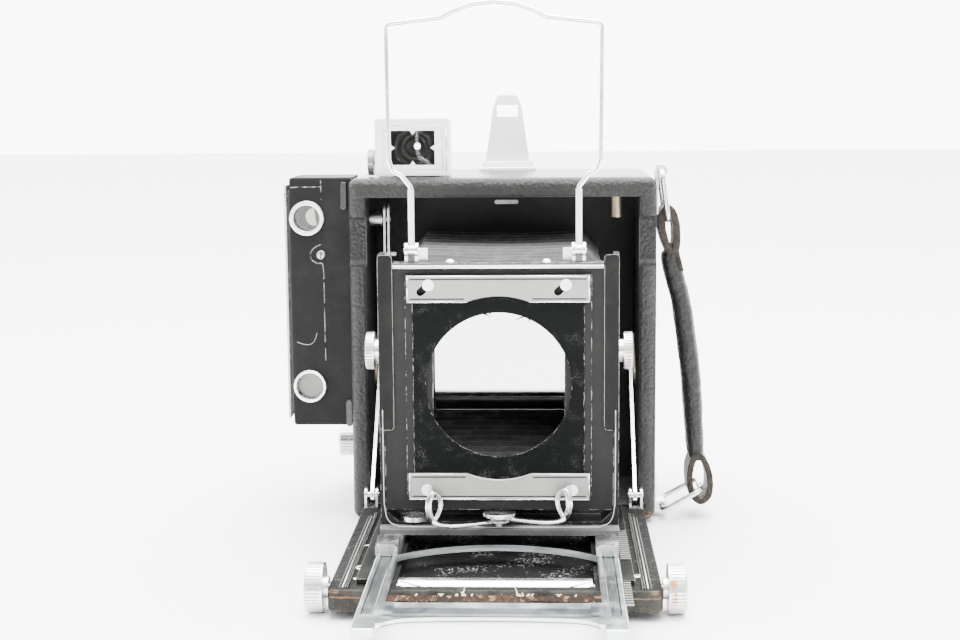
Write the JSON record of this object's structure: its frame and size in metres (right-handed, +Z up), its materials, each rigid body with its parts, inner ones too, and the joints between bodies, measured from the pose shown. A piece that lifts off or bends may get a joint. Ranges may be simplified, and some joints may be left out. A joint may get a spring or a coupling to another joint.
{
  "type": "press camera",
  "caption": "Folding press camera with drop bed, bellows, racked lens standard, wire frame finder, tubular optical finder, side rangefinder and strap handle.",
  "frame": {"origin": "mouth of the tripod socket, in the middle of the body's underside", "axes": "+Z up, the camera looks along -Y, +X towards the side with the carrying strap"},
  "size_m": [0.2119, 0.3172, 0.254],
  "materials": {
    "body_leather": "hardwood shell under black pebbled leather, worn brown at the corners",
    "inner_black": "matt black inner parts",
    "enamel": "black enamel on metal, bright along worn edges",
    "crinkle": "black crinkle enamel",
    "chrome": "polished plating, lightly worn",
    "satin": "satin plating with fine grain",
    "aluminium": "cast and rolled light alloy",
    "brass": "aged brass",
    "glass": "polished optical glass",
    "ground_glass": "ground focusing glass",
    "bellows_leather": "thin black folded leather",
    "curtain_cloth": "black rubberised cloth",
    "strap_leather": "dark strap leather with brown edges"
  },
  "bodies": {
    "body": {"body_box": "body_leather", "tripod_bush": "brass", "bellows_frame": "inner_black", "bellows": "bellows_leather", "shutter_gate": "aluminium", "shutter_curtain": "curtain_cloth", "shutter_plate": "enamel", "back_frame": "enamel", "ground_glass": "ground_glass", "back_springs": "satin", "body_hinge_leaf": "satin", "hinge_pin": "satin", "wall_fittings": "brass", "finder_housing": "satin", "peep_base": "satin", "rangefinder_body": "crinkle", "rangefinder_cover": "enamel", "rangefinder_trim": "chrome", "window_glasses": "glass", "strap_lugs": "satin"},
    "winding": {"winding_key": "satin", "upper_roller": "aluminium"},
    "tension": {"tension_roller": "satin"},
    "release": {"release_button": "chrome"},
    "bed": {"bed_panel": "body_leather", "bed_hinge_leaf": "satin", "bed_guides": "enamel", "brace_brackets": "chrome", "shaft_cover": "chrome"},
    "left_brace": {"brace_left": "chrome"},
    "right_brace": {"brace_right": "chrome"},
    "pinion": {"pinion_shaft": "satin", "focus_knob_left": "satin", "focus_knob_right": "satin"},
    "track": {"focus_track": "chrome", "focus_racks": "satin", "stop_blocks": "satin"},
    "left_stop": {"stop_flap_left": "satin"},
    "right_stop": {"stop_flap_right": "satin"},
    "standard": {"standard_base": "enamel", "standard_frame": "enamel", "upright_covers": "enamel", "base_discs": "chrome"},
    "left_lock": {"lock_lever_left": "chrome"},
    "right_lock": {"lock_lever_right": "chrome"},
    "left_rise": {"rise_knob_left": "satin"},
    "right_rise": {"rise_knob_right": "satin"},
    "panel": {"lens_panel": "enamel", "lens_board": "crinkle", "bottom_clip": "satin", "clip_screws": "satin", "wire_bracket": "chrome"},
    "clip": {"top_clip": "satin"},
    "wire": {"wire_frame": "chrome"},
    "dial": {"parallax_dial": "satin"},
    "peep": {"peep_sight": "satin"},
    "range_lever": {"rangefinder_lever": "satin"},
    "strap_upper_link": {"strap_link_top": "satin"},
    "strap": {"carrying_strap": "strap_leather"},
    "strap_lower_link": {"strap_link_bottom": "satin"}
  },
  "joints": [
    {"name": "bed_drop", "type": "hinge", "parent": "body", "child": "bed", "pos_m": [0, -0.0515, 0.0028], "axis": [1, 0, 0], "range_deg": [0, 15], "deforming": ["bellows"]},
    {"name": "focus_slide", "type": "slide", "parent": "bed", "child": "track", "axis": [0, -1, 0], "range_m": [-0.055, 0.03], "deforming": ["bellows"]},
    {"name": "standard_slide", "type": "slide", "parent": "track", "child": "standard", "axis": [0, -1, 0], "range_m": [-0.006, 0.016], "deforming": ["bellows"]},
    {"name": "lens_rise", "type": "slide", "parent": "standard", "child": "panel", "axis": [0, 0, 1], "range_m": [0, 0.019], "deforming": ["bellows"]},
    {"name": "clip_slide", "type": "slide", "parent": "panel", "child": "clip", "axis": [0.7474, 0, 0.6644], "range_m": [0, 0.0046]},
    {"name": "wire_frame_fold", "type": "hinge", "parent": "panel", "child": "wire", "pos_m": [-0.0014, -0.116, 0.141], "axis": [1, 0, 0], "range_deg": [0, 95]},
    {"name": "left_brace_swing", "type": "hinge", "parent": "bed", "child": "left_brace", "pos_m": [-0.0644, -0.056, 0.015], "axis": [1, 0, 0], "range_deg": [-16, 0]},
    {"name": "right_brace_swing", "type": "hinge", "parent": "bed", "child": "right_brace", "pos_m": [0.0644, -0.056, 0.015], "axis": [1, 0, 0], "range_deg": [-16, 0]},
    {"name": "pinion_turn", "type": "hinge", "parent": "bed", "child": "pinion", "pos_m": [0, -0.185, 0.0073], "axis": [1, 0, 0], "range_deg": [-875.85, 477.96]},
    {"name": "left_stop_fold", "type": "hinge", "parent": "track", "child": "left_stop", "pos_m": [-0.0477, -0.1598, 0.01415], "axis": [1, 0, 0], "range_deg": [0, 88]},
    {"name": "right_stop_fold", "type": "hinge", "parent": "track", "child": "right_stop", "pos_m": [0.0473, -0.1598, 0.01415], "axis": [1, 0, 0], "range_deg": [0, 88]},
    {"name": "lock_pinch", "type": "hinge", "parent": "standard", "child": "left_lock", "pos_m": [0, -0.1236, 0.0195], "axis": [0, 0, 1], "range_deg": [0, 10], "stiffness_Nm_per_rad": 0.25, "springref_deg": -4.58},
    {"name": "right_lock_pinch", "type": "hinge", "parent": "standard", "child": "right_lock", "pos_m": [0, -0.1236, 0.0212], "axis": [0, 0, -1], "range_deg": [0, 10]},
    {"name": "left_rise_knob_turn", "type": "hinge", "parent": "standard", "child": "left_rise", "pos_m": [-0.054, -0.1135, 0.0955], "axis": [1, 0, 0], "range_deg": [-180, 180]},
    {"name": "right_rise_knob_turn", "type": "hinge", "parent": "standard", "child": "right_rise", "pos_m": [0.054, -0.1135, 0.0955], "axis": [1, 0, 0], "range_deg": [-180, 180]},
    {"name": "winding_key_turn", "type": "hinge", "parent": "body", "child": "winding", "pos_m": [-0.075, 0.0283, 0.148], "axis": [1, 0, 0], "continuous": true},
    {"name": "tension_knob_turn", "type": "hinge", "parent": "body", "child": "tension", "pos_m": [-0.075, 0.0283, 0.024], "axis": [1, 0, 0], "continuous": true},
    {"name": "release_press", "type": "slide", "parent": "body", "child": "release", "axis": [1, 0, 0], "range_m": [0, 0.0022], "stiffness_N_per_m": 300, "springref_m": -0.001},
    {"name": "parallax_dial_turn", "type": "hinge", "parent": "body", "child": "dial", "pos_m": [-0.065, -0.03, 0.177], "axis": [1, 0, 0], "range_deg": [-120, 120]},
    {"name": "peep_sight_fold", "type": "hinge", "parent": "body", "child": "peep", "pos_m": [0.001, 0.03, 0.1734], "axis": [1, 0, 0], "range_deg": [0, 88]},
    {"name": "rangefinder_lever_swing", "type": "hinge", "parent": "body", "child": "range_lever", "pos_m": [-0.062, -0.03, 0.149], "axis": [1, 0, 0], "range_deg": [-9.6, 5.3]},
    {"name": "strap_swing", "type": "hinge", "parent": "body", "child": "strap_upper_link", "pos_m": [0.0776, -0.031, 0.1722], "axis": [0, -1, 0], "range_deg": [0, 12]},
    {"name": "strap_turn", "type": "hinge", "parent": "strap_upper_link", "child": "strap", "pos_m": [0.0806, -0.031, 0.1486], "axis": [0, -1, 0], "range_deg": [-14.2, 0]},
    {"name": "strap_lower_swing", "type": "hinge", "parent": "body", "child": "strap_lower_link", "pos_m": [0.0792, -0.031, 0.004], "axis": [0, -1, 0], "range_deg": [0, 5]}
  ],
  "couplings": [
    {"joint": "left_brace_swing", "follows": "bed_drop", "ratio": -1.0611},
    {"joint": "right_brace_swing", "follows": "bed_drop", "ratio": -1.0611},
    {"joint": "pinion_turn", "follows": "focus_slide", "rad_per_m": 277.78},
    {"joint": "rangefinder_lever_swing", "follows": "focus_slide", "rad_per_m": 3},
    {"joint": "right_lock_pinch", "follows": "lock_pinch", "ratio": 1},
    {"joint": "strap_turn", "follows": "strap_swing", "ratio": -1.176}
  ]
}
